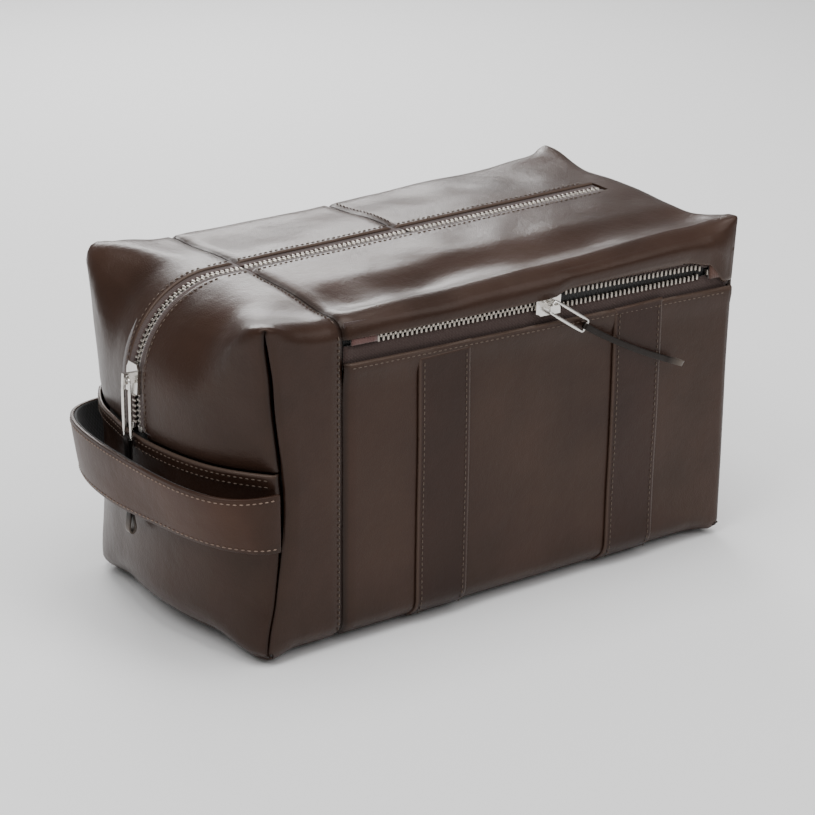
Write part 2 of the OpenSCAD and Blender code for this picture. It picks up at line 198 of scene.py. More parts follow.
class Wire:
    def __init__(self, finish, socket):
        self.finish, self.socket = finish, socket

    def maths(self, operation, a, b):
        return self.finish.node("ShaderNodeMath", {"operation": operation}, {0: a, 1: b})

    def __add__(self, other):
        return self.maths("ADD", self, other)

    __radd__ = __add__

    def __mul__(self, other):
        return self.maths("MULTIPLY", self, other)

    __rmul__ = __mul__

    def __sub__(self, other):
        return self.maths("SUBTRACT", self, other)

    def __rsub__(self, other):
        return self.maths("SUBTRACT", other, self)


class Finish:
    def __init__(self, name):
        self.material = bpy.data.materials.new(name)
        self.material.use_nodes = True
        self.tree = self.material.node_tree
        self.shader = self.tree.nodes["Principled BSDF"]

    def node(self, kind, settings=None, values=None, out=0):
        n = self.tree.nodes.new(kind)
        for key, value in (settings or {}).items():
            if key == "stops":
                for i, (at, colour) in enumerate(value):
                    spot = n.color_ramp.elements[i] if i < 2 else n.color_ramp.elements.new(at)
                    spot.position = at
                    spot.color = (*colour, 1)
            else:
                setattr(n, key, value)
        for key, value in (values or {}).items():
            self.feed(n.inputs[key], value)
        return Wire(self, n.outputs[out])

    def feed(self, socket, value):
        if isinstance(value, Wire):
            self.tree.links.new(value.socket, socket)
        else:
            socket.default_value = value

    def set(self, **values):
        for key, value in values.items():
            self.feed(self.shader.inputs[key.replace("_", " ")], value)

    def place(self):
        return self.node("ShaderNodeTexCoord", out=3)

    def noise(self, scale, detail, rough=0.5):
        v = {"Scale": scale, "Detail": detail, "Roughness": rough, "Vector": self.place()}
        return self.node("ShaderNodeTexNoise", values=v)

    def ramp(self, value, stops):
        return self.node("ShaderNodeValToRGB", {"stops": stops}, {0: value})

    def mix(self, factor, a, b):
        n = self.tree.nodes.new("ShaderNodeMix")
        n.data_type = "RGBA"
        for socket, value in ((n.inputs[0], factor), (n.inputs[6], a), (n.inputs[7], b)):
            self.feed(socket, value)
        return Wire(self, n.outputs[2])

    def bump(self, height_wire, depth, strength=1.0, under=None):
        v = {"Height": height_wire, "Distance": depth, "Strength": strength}
        if under:
            v["Normal"] = under
        return self.node("ShaderNodeBump", values=v)


def rgb(r, g, b):
    return (r, g, b, 1)


# %% [markdown]
# ## Leather finishes
# Calf leather has a fine net of pores, wider soft clouding from the dye, and a thin
# glaze. Pores are a Voronoi bump under a millimetre across, the clouding is noise in the
# colour and the roughness, and the glaze is a weak coat. Folded edges take an edge colour
# that is partly rubbed wear and partly a painted highlight. Turned edges take painted shade
# where they dive into the seam. The pieces carry these in two point attributes, one for the
# edge colour and highlight and one for the painted shade.

# %% Leather


def leather_finish(name, dark, light, edge_colour_and_highlight, gloss=0.36, pore=1500):
    f = Finish(name)
    cloud = f.noise(22, 3)
    fine = f.noise(260, 2)
    colour = f.mix(f.ramp(cloud, [(0.32, (0, 0, 0)), (0.7, (1, 1, 1))]), rgb(*dark), rgb(*light))
    # Edge colour: rubbed wear, partly a painted highlight along folded edges.
    edge_colour_and_highlight_mask = f.node("ShaderNodeAttribute", {"attribute_name": "edge_colour_and_highlight"}, out=2)
    colour = f.mix(edge_colour_and_highlight_mask, colour, rgb(*edge_colour_and_highlight))
    # Painted shade: seam creases are darkened towards a deep brown.
    painted_seam_shade = f.node("ShaderNodeAttribute", {"attribute_name": "shade"}, out=2)
    colour = f.mix(painted_seam_shade, colour, rgb(*(c * 0.28 for c in dark)))
    pores = f.node("ShaderNodeTexVoronoi", values={"Scale": pore, "Vector": f.place()})
    creases = f.noise(95, 4, rough=0.6)
    waves = f.bump(creases, 0.0009, 0.35)
    grain = f.bump(pores * 0.7 + fine * 0.6, 0.00012, 0.5, under=waves)
    f.set(Base_Color=colour, Roughness=gloss - 0.06 + fine * 0.06 + cloud * 0.12 + edge_colour_and_highlight_mask * -0.05,
          Normal=grain, Coat_Weight=0.05, Coat_Roughness=0.22, Specular_IOR_Level=0.24,
          Specular_Tint=rgb(1.0, 0.86, 0.78))
    return f.material


# The last colour is the edge colour: a lighter rub with painted highlight; on the strap, dark edge
# paint.
bag_leather = leather_finish("bag leather", (0.024, 0.0112, 0.0072), (0.041, 0.0205, 0.0138),
                             (0.09, 0.062, 0.048), 0.31)
band_leather = leather_finish("band leather", (0.0155, 0.0060, 0.0038), (0.026, 0.0105, 0.0070),
                              (0.085, 0.055, 0.042), 0.29)
strap_leather = leather_finish("strap leather", (0.038, 0.0165, 0.0100), (0.062, 0.0290, 0.0180),
                               (0.008, 0.006, 0.005), 0.4)
pull_leather = leather_finish("pull leather", (0.004, 0.003, 0.0028), (0.008, 0.006, 0.005),
                              (0.11, 0.09, 0.075), 0.38, 2200)

# %% [markdown]
# ## Cloth, thread and metal
# Zip tape is a ribbed weave, the lining a plain one, and both are crossed waves that
# follow the piece. Nickel is polished but handled, so its roughness is clouded.

# %% Cloth and thread


def cloth_finish(name, colour, second, rib, rough=0.85):
    f = Finish(name)
    v = f.place()
    warp = f.node("ShaderNodeTexWave", {"bands_direction": "X"}, {"Scale": rib, "Vector": v})
    weft = f.node("ShaderNodeTexWave", {"bands_direction": "DIAGONAL"},
                  {"Scale": rib, "Vector": v})
    weave = warp * 0.5 + weft * 0.5
    fluff = f.noise(900, 2)
    tone = f.mix(weave * 0.7 + fluff * 0.3, rgb(*colour), rgb(*second))
    f.set(Base_Color=tone, Roughness=rough, Normal=f.bump(weave + fluff * 0.4, 0.0002, 0.6))
    f.shader.inputs["Sheen Weight"].default_value = 0.25
    return f.material


def thread_finish(name, colour):
    f = Finish(name)
    ply = f.node("ShaderNodeTexWave", {"bands_direction": "DIAGONAL"},
                 {"Scale": 700, "Vector": f.place()})
    f.set(Base_Color=f.mix(ply, rgb(*colour), rgb(*(c * 0.6 for c in colour))),
          Roughness=0.6, Normal=f.bump(ply, 0.00008, 0.5))
    return f.material


zip_tape = cloth_finish("zip tape", (0.032, 0.015, 0.012), (0.052, 0.026, 0.020), 420)
zip_end = cloth_finish("zip end", (0.085, 0.036, 0.031), (0.13, 0.058, 0.050), 420)
lining_cloth = cloth_finish("lining cloth", (0.008, 0.008, 0.008), (0.022, 0.021, 0.021), 330)
far_tab = cloth_finish("zip far end", (0.060, 0.024, 0.015), (0.095, 0.041, 0.026), 300)
thread = thread_finish("thread", (0.11, 0.074, 0.052))
strap_thread = thread_finish("strap thread", (0.25, 0.17, 0.125))

# %% Nickel, board and floor


def metal_finish(name, colour, gloss):
    f = Finish(name)
    smear = f.noise(340, 3)
    f.set(Base_Color=f.mix(smear, rgb(*colour), rgb(*(c * 0.82 for c in colour))), Metallic=1.0,
          Roughness=gloss + smear * 0.16, Normal=f.bump(f.noise(1400, 2), 0.00003, 0.3))
    return f.material


nickel = metal_finish("nickel", (0.80, 0.775, 0.735), 0.14)
tooth_metal = metal_finish("tooth metal", (0.44, 0.40, 0.355), 0.28)


def board_finish():
    f = Finish("board")
    fibre = f.noise(420, 4)
    f.set(Base_Color=f.mix(fibre, rgb(0.30, 0.23, 0.16), rgb(0.42, 0.34, 0.25)), Roughness=0.9,
          Normal=f.bump(fibre, 0.0002, 0.4))
    return f.material


def floor_finish():
    f = Finish("floor")
    f.set(Base_Color=rgb(0.93, 0.93, 0.93), Roughness=0.95)
    return f.material


board = board_finish()
floor.data.materials.append(floor_finish())

# %% [markdown]
# ## Finishing a piece
# Every piece ends the same way: from millimetres to metres, into an object at the
# origin, with its finish, its smooth faces and its place in the table of pieces.

# %% From a mesh in millimetres to a finished piece
made = []


def finish_piece(bm, name, material, normals=None):
    bmesh.ops.scale(bm, vec=(MM, MM, MM), verts=bm.verts)
    mesh = bpy.data.meshes.new(name)
    bm.to_mesh(mesh)
    bm.free()
    mesh.materials.append(material)
    mesh.shade_smooth()
    if normals:
        mesh.normals_split_custom_set_from_vertices(normals)
    piece = bpy.data.objects.new(name, mesh)
    bpy.context.scene.collection.objects.link(piece)
    made.append(piece)
    return piece


def edge_colour_and_shade_layers(bm):
    """Edge colour (rubbed wear and painted highlight), and painted shade in the seams."""
    return bm.verts.layers.float.new("edge_colour_and_highlight"), bm.verts.layers.float.new("shade")


def thicken(piece, thickness):
    m = piece.modifiers.new("thickness", "SOLIDIFY")
    m.thickness = thickness * MM
    m.offset = -1
    m.use_rim = True
    return piece


def ease(a, b, v):
    t = min(1.0, max(0.0, (v - a) / (b - a)))
    return t * t * (3 - 2 * t)


def mix(a, b, t):
    return a + (b - a) * t


# %% [markdown]
# ## The whole skin
# A plain block is cut by a ruled set of planes, close together where a seam will be, and
# then every point is moved by `settle`: the edges roll over, the near end swells, the
# corner seams pull in, the ears stand up, and the whole bag narrows to its base.

# %% Rules: where the block is cut


def ruler(low, high, step, seams):
    """Places from low to high: each seam with a close line on both sides, gaps filled evenly."""
    close = (0, 0.7, 1.5, 2.8)
    marks = {low, high}
    for s in seams:
        marks |= {s + d for d in close} | {s - d for d in close}
    marks |= {low + d for d in close} | {high - d for d in close}
    marks = sorted(m for m in marks if low <= m <= high)
    kept = [marks[0]]
    for m in marks[1:]:
        if m - kept[-1] > 0.3:
            kept.append(m)
    lines = []
    for a, b in zip(kept, kept[1:]):
        n = max(1, math.ceil((b - a) / step))
        lines += [a + (b - a) * i / n for i in range(n)]
    return lines + [kept[-1]]


x_seams = [front_seam, back_seam, far_split, 0] + [e for b in bands for e in b]
y_seams = [zip_y - channel, zip_y + channel, -base_seam, base_seam]
z_seams = [end_seam, fold_z, band_top]
grid_step = 4.2
x_lines = ruler(near_x, far_x, grid_step, x_seams)
y_lines = ruler(-half, half, grid_step, y_seams)
z_lines = ruler(0, height, grid_step, z_seams)
print("cuts:", len(x_lines), len(y_lines), len(z_lines))

# %% Settle: from the neat block to the soft bag
near_arc = (half ** 2 + near_swell ** 2) / (2 * near_swell)
far_arc = (half ** 2 + far_swell ** 2) / (2 * far_swell)
top_roll = 9
bottom_roll = 12
narrow_x, narrow_y = 0.012, 0.048


def roll(u, v):
    """A square corner becomes a round one; u and v count outward from where the roll starts."""
    if u <= 0 or v <= 0:
        return 0.0, 0.0
    k = max(u, v) / math.hypot(u, v) - 1
    return u * k, v * k


def bump_between(low, high, v):
    t = (v - low) / (high - low)
    return 16 * t * t * (1 - t) * (1 - t) if 0 < t < 1 else 0.0


def lip_shift(p):
    """The leather above the pocket zip lifts over its open part and closes at the far end."""
    if p.y > 0.01 - half or p.z < pocket_z(p.x, 0.5):
        return 0.0
    mouth = ease(pocket_pivot.x + 2, pocket_pivot.x + 12, p.x) * ease(far_x - 22, far_x - 34, p.x)
    shift = lip_open * mouth - lip_shut * ease(far_x - 23, far_x - 11, p.x)
    return shift * (1 - ease(lip_rise, lip_rise + 18, p.z - pocket_z(p.x)))


def settle(p):
    x, y, z = p
    out = abs(y)
    side = 1 if y > 0 else -1
    from_near, from_far, from_top = x - near_x, far_x - x, height - z
    corner = ease(30, half, out)
    mx = my = mz = 0.0
    for d, e, r, sx, sz in (
        (from_near, from_top, mix(bend_r, 8 if y > 0 else 3, corner), -1, 1),
        (from_near, z, mix(22, 6, corner), -1, -1),
        (from_far, from_top, mix(15, 2, corner), 1, 1),
        (from_far, z, mix(16, 5, corner), 1, -1),
    ):
        u, v = roll(r - d, r - e)
        mx += sx * u
        mz += sz * v
    to_end = min(from_near, from_far)
    for e, r, sz in ((from_top, top_roll * mix(0.2, 1, ease(0, 22, to_end)), 1),
                     (z, bottom_roll * mix(0.4, 1, ease(0, 25, to_end)), -1)):
        u, v = roll(r - (half - out), r - e)
        my += side * u
        mz += sz * v
    near_k = 1 - ease(near_x, near_x + 48, x)
    far_k = 1 - ease(0, 18, from_far)
    mx += (near_arc - math.sqrt(near_arc ** 2 - y * y)) * near_k
    mx -= (far_arc - math.sqrt(far_arc ** 2 - y * y)) * far_k
    pull_in = 5.5 * bump_between(14, 126, z) - 2.8 * ease(122, 148, z) - 3 * ease(30, 6, z)
    pull_in *= 0.45 if y > 0 else 1
    mx += pull_in * ease(38, half, out) * (1 - ease(0, 34, from_near))
    waist = bump_between(10, 130, z) * (1 - ease(0, 14, from_near)) * ease(50, half, out)
    my -= side * 1.5 * waist
    mx -= 3.5 * ease(25, half, y) * (1 - ease(0, 40, from_near))
    # the long top edges hang a little between their ears
    hang = 2.7 * ease(0, 34, x - near_x - near_swell) * mix(1, 0.4, ease(-20, 90, x))
    mz -= hang * ease(24, 62, out) * ease(120, height, z) * ease(0, 12, from_far)
    lift = (0.4 if y > 0 else 1.8) * (1 - ease(0, 30, from_near))
    lift += (0.6 if y > 0 else 3.2) * (1 - ease(0, 34, from_far))
    mz += lift * ease(36, half, out) * ease(118, height, z)
    mx += 1.6 * (1 - ease(0, 20, from_far)) * ease(40, half, -y) * ease(125, height, z)
    # the bag narrows towards its base
    low = 1 - z / height
    my -= (y + my) * narrow_y * low
    mx -= (x + mx) * narrow_x * low
    return Vector((x + mx, y + my, z + mz))


# %% Soft waves in the leather


def wave(p, seed, size):
    return noise.noise(Vector((p.x, p.y * 1.1, p.z)) / size + Vector((seed, seed * 0.7, 3.1)))


def softness(p, q):
    """How far the leather at block point p, settled at q, stands out of its smooth shape."""
    by_zip = ease(channel + 1, 26, abs(p.y - zip_y)) if p.x > near_x + 0.1 or p.z > end_seam else 1
    on_top = ease(fold_z - 2, height, p.z)
    calm = wave(q, 1.7, 52) + wave(q, 8.3, 24) * 0.35
    lively = wave(q, 4.1, 46) * 1.7 + wave(q, 6.6, 19) * 0.55
    out = mix(calm, lively, on_top) * mix(0.15, 1, by_zip)
    along = ease(front_seam, front_seam + 16, p.x) * ease(far_x, far_x - 22, p.x)
    if p.z > height - 0.1:
        # a long shallow valley runs behind the roll over the pocket zip
        out -= 2.3 * bump_between(-64, -30, p.y) * along * (1 + 0.5 * wave(q, 5.5, 30))
    if p.y < 8 - half:
        # the leather swells over the pocket zip, and the panel below lies flat
        over = bump_between(fold_z - 15, height + 9, p.z) * along
        over *= ease(front_seam, front_seam + 38, p.x)
        out = out * 0.55 + 3.0 * over * (0.85 + 0.5 * wave(q, 9.2, 34))
        near_line = 1 - ease(3, 12, abs(p.z - pocket_z(p.x)))
        out = mix(out, 1.3 * over, near_line)
    return mix(-1.0, out, ease(0, 9, p.z))


# %% Cut the block and settle it
def cut(bm, point, normal, faces=None):
    geom = faces if faces else bm.faces[:]
    edges = list({e for f in geom for e in f.edges})
    verts = list({v for f in geom for v in f.verts})
    bmesh.ops.bisect_plane(bm, geom=verts + edges + geom, dist=1e-4,
                           plane_co=point, plane_no=normal)


def on_front(f):
    return all(abs(v.co.y + half) < 0.01 for v in f.verts)


def make_block():
    bm = bmesh.new()
    bmesh.ops.create_cube(bm, size=1)
    bmesh.ops.scale(bm, vec=(far_x - near_x, 2 * half, height), verts=bm.verts)
    bmesh.ops.translate(bm, vec=((near_x + far_x) / 2, 0, height / 2), verts=bm.verts)
    for axis, lines in ((X, x_lines), (Y, y_lines), (Z, z_lines)):
        for at in lines[1:-1]:
            point, normal = Vector(), Vector()
            point[axis], normal[axis] = at, 1
            cut(bm, point, normal)
    tilt = Vector((-pocket_slope, 0, 1))
    for rise in (lip_rise, lip_rise + 0.8, -panel_drop, -panel_drop - 0.7, -panel_drop - 2.4):
        strip = [f for f in bm.faces if on_front(f)
                 and abs(f.calc_center_median().z - pocket_z(f.calc_center_median().x)) < 22]
        cut(bm, (0, 0, pocket_z(0, rise)), tilt, strip)
    return bm


block = make_block()
place_of = block.verts.layers.float_vector.new("block")
for v in block.verts:
    v[place_of] = v.co.copy()
    v.co = settle(v.co)
block.normal_update()
for v in block.verts:
    v.co += v.normal * softness(v[place_of], v.co)
bmesh.ops.recalc_face_normals(block, faces=block.faces)
block.normal_update()
skin_tree = BVHTree.FromBMesh(block)
skin_normals = {v.index: v.normal.copy() for v in block.verts}
print("skin:", len(block.verts), "points,", len(block.faces), "faces")

# %% [markdown]
# ## Cutting the panels
# A panel is the part of the skin that lies between its seams. What makes a seam look
# sewn is how the edge behaves, so each panel says it for each edge: "turned" edges
# dive into the seam, "raised" ones are folded and lie on top of their neighbour,
# "under" ones sink below it, "folded" ones are only rounded, "joined" ones run on into
# the next piece, and "corner" ones roll inwards along the upright corner seams.

# %% Edge styles
edge_shapes = {
    "turned": lambda d: -1.25 * (1 - ease(0, 3.2, d)),
    "folded": lambda d: -0.8 * (1 - ease(0, 0.8, d)),
    "raised": lambda d: 1.3 * (1 - ease(3, 12, d)) - 0.9 * (1 - ease(0, 0.8, d)),
    "under": lambda d: -0.9 * (1 - ease(0, 5, d)),
    "joined": lambda d: 0.0,
    "corner": lambda d: 0.0,
}


def corner_tuck(p, d):
    """Both sides of a corner seam roll inwards together; the ears and feet stay full."""
    full = mix(0.3, 1, ease(height - 1, height - 12, p.z) * ease(1, 12, p.z))
    way = Vector((1 if p.x < 0 else -1, 1 if p.y < 0 else -1, 0)).normalized()
    return way * mix(2.0, 4.4, ease(25, 80, p.z)) * full * math.exp(-d / 1.0)


def cut_panel(name, keep, style, material=None, slot="leather", lift=0.0, thickness=leather):
    """The faces whose block centre passes keep; style(p) names the kind of edge at p."""
    bm = block.copy()
    number = bm.verts.layers.int.new("number")
    edge_colour_and_highlight_layer, shade_layer = edge_colour_and_shade_layers(bm)
    layer = bm.verts.layers.float_vector["block"]
    for v in bm.verts:
        v[number] = v.index
    centre = {f: sum((v[layer] for v in f.verts), Vector()) / len(f.verts) for f in bm.faces}
    facing = {}
    for f in bm.faces:
        ext = [max(v[layer][a] for v in f.verts) - min(v[layer][a] for v in f.verts)
               for a in (X, Y, Z)]
        facing[f] = min((X, Y, Z), key=lambda a: ext[a])
    gone = [f for f in bm.faces if not keep(centre[f], facing[f])]
    bmesh.ops.delete(bm, geom=gone, context="FACES")
    corner = [e for e in bm.edges if len(e.link_faces) == 2 and on_corner_seam(e, layer)]
    if corner:
        bmesh.ops.split_edges(bm, edges=corner)
    bm.normal_update()
    edge_sets = {}
    for e in bm.edges:
        if e.is_boundary:
            kind = "corner" if on_corner_seam(e, layer) else style(
                (e.verts[0][layer] + e.verts[1][layer]) / 2)
            edge_sets.setdefault(kind, []).append((e.verts[0][layer] + e.verts[1][layer]) / 2)
            for v in e.verts:
                edge_sets[kind].append(v[layer].copy())
    trees = {}
    for kind, points in edge_sets.items():
        trees[kind] = KDTree(len(points))
        for i, p in enumerate(points):
            trees[kind].insert(p, i)
        trees[kind].balance()
    shift, tuck, edge_colour_and_highlight, shade = {}, {}, {}, {}
    for v in bm.verts:
        p = v[layer]
        out = lift * mix(0.55, 1, ease(0, 12, p.z))
        edge_colour_and_highlight[v], shade[v], tuck[v] = 0.0, 0.0, Vector()
        for kind, tree in trees.items():
            d = tree.find(p)[2]
            out += edge_shapes[kind](d)
            # Raised and folded edges take the edge colour, partly a painted highlight.
            if kind in ("raised", "folded"):
                edge_colour_and_highlight[v] = max(edge_colour_and_highlight[v], 0.75 * (1 - ease(0.3, 1.6, d)))
            # Turned and under edges take painted shade where they dive into the seam.
            if kind in ("turned", "under"):
                shade[v] = max(shade[v], 0.8 * (1 - ease(0.2, 3.2, d)))
            # Corner seams take painted shade along their crease, lighter towards the base.
            if kind == "corner":
                tuck[v] = corner_tuck(p, d)
                shade[v] = max(shade[v], (1 - ease(0.2, 2.0, d)) * mix(0.6, 1, ease(25, 80, p.z)))
        shift[v] = out
    joined = trees.get("joined")
    moved = {v: v.co + v.normal * shift[v] + tuck[v] for v in bm.verts}
    smooth = {v: skin_normals[v[number]] for v in bm.verts
              if joined and joined.find(v[layer])[2] < 0.01}
    for e in bm.edges:
        if e.is_boundary and all(v in smooth for v in e.verts):
            e.smooth = False
    for v, co in moved.items():
        v.co = co
        if slot != "lining":
            v.co.z += lip_shift(v[layer])
    bm.normal_update()
    normals = []
    for v in bm.verts:
        v[edge_colour_and_highlight_layer], v[shade_layer] = edge_colour_and_highlight[v], shade[v]
        normals.append(smooth.get(v, v.normal).copy())
    piece = finish_piece(bm, name, material or bag_leather, normals)
    print(f"{name}: {len(piece.data.polygons)} faces")
    return thicken(piece, thickness)


def on_corner_seam(e, layer):
    """The seam up each corner, from the base's roll to the ear."""
    a, b = e.verts[0][layer], e.verts[1][layer]
    return all(abs(abs(p.y) - half) < 0.01 and min(p.x - near_x, far_x - p.x) < 0.01
               for p in (a, b))


# %% Where each edge of a panel lies
def at(value, place):
    return abs(value - place) < 0.02


def channel_edge(p):
    return at(p.y, zip_y - channel) or at(p.y, zip_y + channel)


def front_style(p):
    if channel_edge(p) and p.z > end_seam + 1:
        return "folded"
    if at(p.x, near_x) and at(p.z, end_seam):
        return "under"
    return "turned"


def flap_style(p):
    if channel_edge(p) and p.z > fold_z:
        return "folded"
    if at(p.x, front_seam) or at(p.x, back_seam) and p.y > zip_y:
        return "turned"
    return "joined"


def lower_style(p):
    return "raised" if at(p.z, end_seam) else "turned"


def pocket_style(p):
    return "raised" if abs(p.z - pocket_z(p.x, -panel_drop)) < 0.05 else "turned"


def far_style(p):
    if at(p.x, far_split) or at(p.z, fold_z):
        return "joined"
    return "turned"


def back_style(p):
    return "joined" if at(p.z, fold_z) else "turned"


# %% The near end, the front strip and the back
def on_top(c, f):
    return f == Z and c.z > height - 1


def is_base(c, f):
    return f == Z and c.z < 1


def in_corner_front(c, f):
    near = f == X and c.x < near_x + 1 and c.z > end_seam and c.y < zip_y - channel
    top = on_top(c, f) and c.x < front_seam and c.y < zip_y - channel
    front = f == Y and c.y < 0 and c.x < front_seam
    under = is_base(c, f) and c.x < front_seam and c.y < -base_seam
    return near or top or front or under


def in_corner_back(c, f):
    near = f == X and c.x < near_x + 1 and c.z > end_seam and c.y > zip_y + channel
    top = on_top(c, f) and c.x < front_seam and c.y > zip_y + channel
    rear = f == Y and c.y > 0 and c.x < back_seam and (c.z < fold_z or c.x < front_seam)
    under = is_base(c, f) and c.x < back_seam and c.y > base_seam
    return near or top or rear or under


def corner_back_style(p):
    if at(p.z, fold_z) and p.y > 0 and p.x > front_seam:
        return "joined"
    return front_style(p)


corner_front = cut_panel("corner_front_leather", in_corner_front, front_style)
corner_back = cut_panel("corner_back_leather", in_corner_back, corner_back_style)
near_lower = cut_panel("near_end_lower_leather",
                       lambda c, f: f == X and c.x < near_x + 1 and c.z < end_seam, lower_style)
back_right = cut_panel(
    "back_right_leather",
    lambda c, f: c.x > back_seam and (f == Y and c.y > 0 and c.z < fold_z
                                      or is_base(c, f) and c.y > base_seam), back_style)
base = cut_panel("base_leather", lambda c, f: is_base(c, f) and abs(c.y) < base_seam,
                 lambda p: "turned")

# %% The pocket's panel and the far end


def below_pocket(c):
    return c.z < pocket_z(c.x, -panel_drop)


pocket_panel = cut_panel(
    "pocket_panel_leather",
    lambda c, f: c.x > front_seam and (f == Y and c.y < 0 and below_pocket(c)
                                       or is_base(c, f) and c.y < -base_seam), pocket_style)


def in_far_end(c, f):
    end = f == X and c.x > far_x - 1
    top = on_top(c, f) and c.x > far_split
    side = f == Y and c.x > far_split and c.z > fold_z
    return end or top or side


far_end = cut_panel("far_end_leather", in_far_end, far_style)
lip = cut_panel(
    "pocket_lip_leather",
    lambda c, f: f == Y and c.y < 0 and c.x > front_seam and c.z < fold_z
    and c.z > pocket_z(c.x, lip_rise),
    lambda p: "folded" if abs(p.z - pocket_z(p.x, lip_rise)) < 0.05
    else ("joined" if at(p.z, fold_z) else "turned"))

# %% The four pieces of the top


def in_flap(x0, x1, side):
    def keep(c, f):
        if not x0 < c.x < x1:
            return False
        past_zip = (c.y - zip_y) * side > channel
        return on_top(c, f) and past_zip or f == Y and c.y * side > 0 and c.z > fold_z
    return keep


flap_front_near = cut_panel("flap_front_near_leather", in_flap(front_seam, 0, -1), flap_style)
flap_front_far = cut_panel("flap_front_far_leather", in_flap(0, far_split, -1), flap_style)
flap_back_near = cut_panel("flap_back_near_leather", in_flap(front_seam, back_seam, 1), flap_style)
flap_back_far = cut_panel("flap_back_far_leather", in_flap(back_seam, far_split, 1), flap_style)

# %% [markdown]
# ## The two bands
# Each band is a strip of redder leather with folded edges, sewn over the front, round
# the bottom and up the back. It is cut from the same skin, stood off by its thickness.

# %% Bands
band_lift = 1.5


def in_band(x0, x1, side):
    def keep(c, f):
        if not x0 < c.x < x1 or c.y * side < 0:
            return False
        return f == Y and c.z < band_top or is_base(c, f) and abs(c.y) > base_seam
    return keep


band_pieces = []
for (x0, x1), name in zip(bands, ("band_left", "band_right")):
    for side, word in ((-1, "front"), (1, "back")):
        band_pieces.append((name, cut_panel(f"{name}_{word}_leather", in_band(x0, x1, side),
                                            lambda p: "folded", band_leather, "band_leather",
                                            band_lift)))

# %% [markdown]
# ## Who stands for which CAD node
# The leather pieces replace the plain CAD panels. Most ride on the bag's body. The four
# pieces of the top are baked in place where they were cut and do not move with the flaps.

# %% Ride and replace the leather
for piece, node in (
    (corner_front, "corner_front"), (corner_back, "corner_back"), (near_lower, "near_end_lower"),
    (back_right, "back_right"), (base, "base_panel"), (pocket_panel, "pocket_panel"),
    (far_end, "far_end_panel"),
):
    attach(piece, "bag")
    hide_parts(node)
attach(lip, "bag")
for node, piece in band_pieces:
    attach(piece, "bag")
    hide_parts(node)


def bend_open(piece, flap, part, *nodes):
    """Fixes a piece of the top in place and hides its CAD nodes: part is "near" or "far"."""
    start = front_seam if part == "near" else far_split
    start * MM
    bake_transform(piece)
    if nodes:
        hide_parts(*nodes)


bend_open(flap_front_near, "front_flap", "near", "flap_front")
bend_open(flap_front_far, "front_flap", "far", "flap_front")
bend_open(flap_back_near, "back_flap", "near", "flap_back_near")
bend_open(flap_back_far, "back_flap", "far", "flap_back_far")

# %% [markdown]
# ## Stitches
# A stitch is a short rounded bead of thread lying along its row. One bead of a few
# faces is copied along a line, each laid on the skin and turned to it.

# %% Lay stitches along a line on the skin


def on_skin(p):
    """The place and outward direction of the leather nearest to a block point."""
    q = settle(Vector(p))
    place, normal, _, _ = skin_tree.find_nearest(q)
    return place, normal


def bead_rows(name, rows, material, length=1.75, pitch=2.7, thick=0.34):
    """rows: lists of (place, outward direction), close enough together to follow."""
    bm = bmesh.new()
    for row in rows:
        run = 0.0
        due = pitch / 2
        for (a, na), (b, nb) in zip(row, row[1:]):
            step = (b - a).length
            while due <= run + step and step > 1e-6:
                t = (due - run) / step
                along = (b - a).normalized()
                out = (na.lerp(nb, t)).normalized()
                across = out.cross(along).normalized()
                out = along.cross(across)
                axes = Matrix((along, across, out)).transposed().to_4x4()
                axes.translation = a.lerp(b, t) + out * 0.12
                size = Matrix.Diagonal((length / 2, thick, thick * 0.8, 1))
                lying = Matrix.Rotation(math.pi / 2, 4, "Y")
                bmesh.ops.create_uvsphere(bm, u_segments=6, v_segments=4, radius=1,
                                          matrix=axes @ size @ lying)
                due += pitch
            run += step
    return finish_piece(bm, name, material)


def skin_row(points, lift=0.0):
    """A row through block points, filled in and laid on the leather."""
    row = []
    for a, b in zip(points, points[1:]):
        n = max(1, round((Vector(b) - Vector(a)).length / 2))
        row += [Vector(a).lerp(Vector(b), i / n) for i in range(n)]
    row.append(Vector(points[-1]))
    return [(place + normal * lift, normal) for place, normal in map(on_skin, row)]


# %% Rows on the fixed panels
inside = 2.6
lap = 1.2
near_rows = [skin_row([(near_x, side_y, end_seam - d) for side_y in range(-66, 67, 6)], lap)
             for d in (2.6, 5.6)]
front_row = skin_row([(front_seam - inside, -half, z) for z in range(6, 148, 6)])
back_row = skin_row([(back_seam - inside, half, z) for z in range(6, 140, 6)])
zip_side = [skin_row([(x, zip_y + s * (channel + inside), height) for x in range(-98, -84, 3)])
            for s in (-1, 1)]
end_side = [skin_row([(near_x, zip_y + s * (channel + inside), z)
                      for z in range(int(end_seam) + 3, 109, 3)]) for s in (-1, 1)]
bend_side = []
for s in (-1, 1):
    y = zip_y + s * (channel + inside)
    across = [(near_x, y, height - bend_r + t) for t in range(0, int(bend_r), 3)]
    across += [(near_x + t, y, height) for t in range(0, int(bend_r), 3)]
    bend_side.append(skin_row(across))
top_corner = [skin_row([(front_seam - inside, y, height) for y in range(-68, 0, 4)])]
fixed_stitches = bead_rows("panel_stitches", near_rows + [front_row, back_row] + zip_side
                           + end_side + bend_side + top_corner, thread)
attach(fixed_stitches, "bag")

